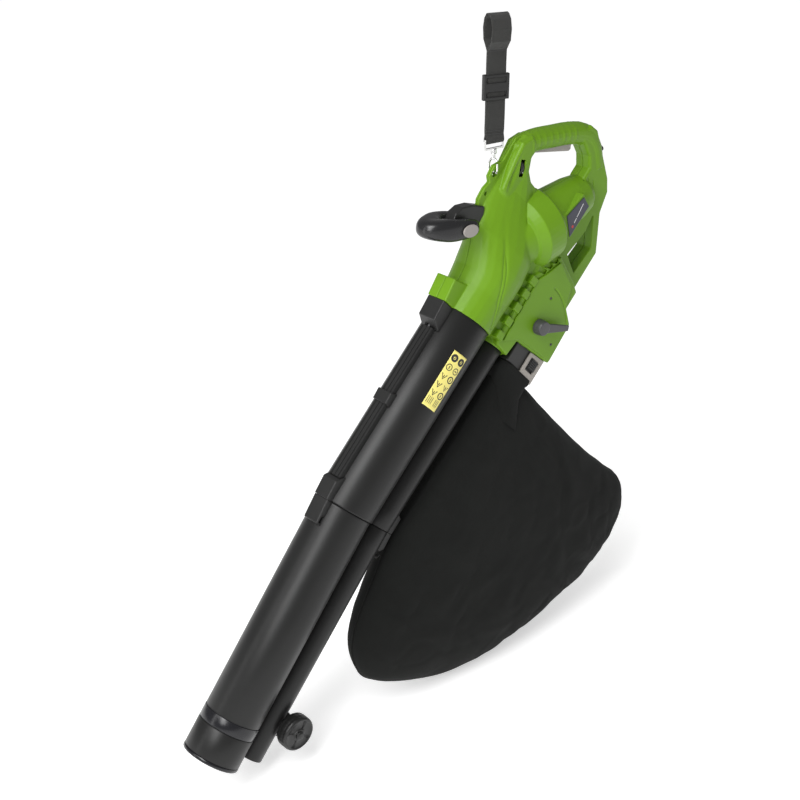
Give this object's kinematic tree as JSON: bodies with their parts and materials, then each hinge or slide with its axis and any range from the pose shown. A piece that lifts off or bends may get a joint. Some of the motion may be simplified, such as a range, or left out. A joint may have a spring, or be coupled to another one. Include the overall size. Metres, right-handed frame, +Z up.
{
  "type": "leaf blower vacuum",
  "caption": "Hand-held electric leaf blower, vacuum and shredder: green motor housing, twin tubes on a wheeled nozzle, black collecting bag and shoulder strap.",
  "frame": {"origin": "top of the shoulder strap loop, from which the machine hangs", "axes": "+Z up along the hanging strap; the tubes run down towards -X and lean 45.6 degrees (lower half 51 degrees) above the horizontal in the XZ plane; +Y is the right-hand side for the user"},
  "size_m": [1.0632, 0.164, 1.233],
  "materials": {
    "green_plastic": "satin",
    "black_plastic": "satin",
    "gloss_black": "gloss",
    "soft_black": "matte",
    "grey_plastic": "satin",
    "pale_plastic": "satin",
    "dark_grey_plastic": "satin",
    "steel": "polished",
    "steel_and_copper": "plain",
    "bag_fabric": "woven",
    "webbing": "woven",
    "yellow_label": "gloss",
    "badge": "satin"
  },
  "bodies": {
    "machine": {"housing_left": "green_plastic", "housing_right": "green_plastic", "diverter_cover": "green_plastic", "name_plate": "badge", "outlet_duct": "black_plastic", "bag_adapter": "grey_plastic", "bag": "bag_fabric", "upper_vac_tube": "black_plastic", "upper_blow_tube": "black_plastic", "interlock_cover": "black_plastic", "rail_cover": "black_plastic", "rail_clip": "black_plastic", "joint_block_upper": "black_plastic", "joint_lug_upper": "black_plastic", "warning_label": "yellow_label", "lower_vac_tube": "black_plastic", "nozzle_band": "gloss_black", "mouth_ring": "gloss_black", "lower_blow_tube": "black_plastic", "joint_block_lower": "black_plastic", "joint_lug_lower": "black_plastic", "bag_hook": "black_plastic", "wheel_bracket": "black_plastic", "wheel_axle": "steel", "hub_cap_left": "black_plastic", "hub_cap_right": "black_plastic", "handle_bracket": "black_plastic", "handle_bolt": "steel", "switch_module": "dark_grey_plastic", "cable_gland": "black_plastic", "capacitor": "pale_plastic", "motor_stator": "steel_and_copper", "bearing_front": "steel", "bearing_rear": "steel", "brush_holder_left": "dark_grey_plastic", "brush_holder_right": "dark_grey_plastic", "strap_eye": "steel", "strap_webbing": "webbing"},
    "trigger": {"trigger": "pale_plastic"},
    "dial": {"speed_dial": "black_plastic"},
    "selector": {"selector_lever": "dark_grey_plastic"},
    "flap": {"diverter_flap": "black_plastic"},
    "front_handle": {"aux_handle": "soft_black", "pivot_cap_left": "pale_plastic", "pivot_cap_right": "pale_plastic"},
    "wheel_left": {"wheel_left": "black_plastic"},
    "wheel_right": {"wheel_right": "black_plastic"},
    "rotor": {"rotor": "steel", "impeller": "black_plastic", "cooling_fan": "dark_grey_plastic"},
    "interlock": {"interlock_rod": "pale_plastic"},
    "bag_latch": {"bag_latch": "black_plastic"},
    "snap_hook": {"snap_hook": "steel"},
    "hook_gate": {"hook_gate": "steel"},
    "strap_slider": {"strap_slider": "black_plastic"}
  },
  "joints": [
    {"name": "trigger_squeeze", "type": "hinge", "parent": "machine", "child": "trigger", "pos_m": [0.08938, 0, -0.23438], "axis": [0, -1, 0], "range_deg": [0, 6], "stiffness_Nm_per_rad": 0.8, "springref_deg": -5.73},
    {"name": "dial_turn", "type": "hinge", "parent": "machine", "child": "dial", "pos_m": [0.05061, -0.008, -0.26149], "axis": [-0.9803, 0, 0.1977], "range_deg": [-135, 135]},
    {"name": "selector_turn", "type": "hinge", "parent": "machine", "child": "selector", "pos_m": [0.08192, -0.05, -0.55109], "axis": [0, -1, 0], "range_deg": [0, 80]},
    {"name": "flap_turn", "type": "hinge", "parent": "machine", "child": "flap", "pos_m": [0.08192, 0, -0.55109], "axis": [0, -1, 0], "range_deg": [0, 80]},
    {"name": "front_handle_tilt", "type": "hinge", "parent": "machine", "child": "front_handle", "pos_m": [-0.0851, 0, -0.33575], "axis": [0, 1, 0], "range_deg": [-45, 40]},
    {"name": "wheel_left_spin", "type": "hinge", "parent": "machine", "child": "wheel_left", "pos_m": [-0.48518, -0.04, -1.15225], "axis": [0, 1, 0], "continuous": true},
    {"name": "wheel_right_spin", "type": "hinge", "parent": "machine", "child": "wheel_right", "pos_m": [-0.48518, 0.04, -1.15225], "axis": [0, 1, 0], "continuous": true},
    {"name": "rotor_spin", "type": "hinge", "parent": "machine", "child": "rotor", "pos_m": [0.13436, 0, -0.36806], "axis": [0.9632, 0, 0.2689], "continuous": true},
    {"name": "interlock_push", "type": "slide", "parent": "machine", "child": "interlock", "axis": [0.6997, 0, 0.7145], "range_m": [0, 0.004], "stiffness_N_per_m": 400, "springref_m": -0.002},
    {"name": "bag_latch_slide", "type": "slide", "parent": "machine", "child": "bag_latch", "axis": [-0.6997, 0, -0.7145], "range_m": [0, 0.0035], "stiffness_N_per_m": 600, "springref_m": -0.002},
    {"name": "hook_swivel", "type": "hinge", "parent": "machine", "child": "snap_hook", "pos_m": [0, 0, -0.264], "axis": [0, 0, 1], "range_deg": [-12, 12]},
    {"name": "gate_open", "type": "hinge", "parent": "snap_hook", "child": "hook_gate", "pos_m": [0, -0.0093, -0.2455], "axis": [1, 0, 0], "range_deg": [0, 14], "stiffness_Nm_per_rad": 0.02, "springref_deg": -11.46},
    {"name": "slider_slide", "type": "slide", "parent": "machine", "child": "strap_slider", "axis": [0, 0, 1], "range_m": [-0.05, 0.035]}
  ],
  "couplings": [
    {"joint": "flap_turn", "follows": "selector_turn", "ratio": 1}
  ]
}
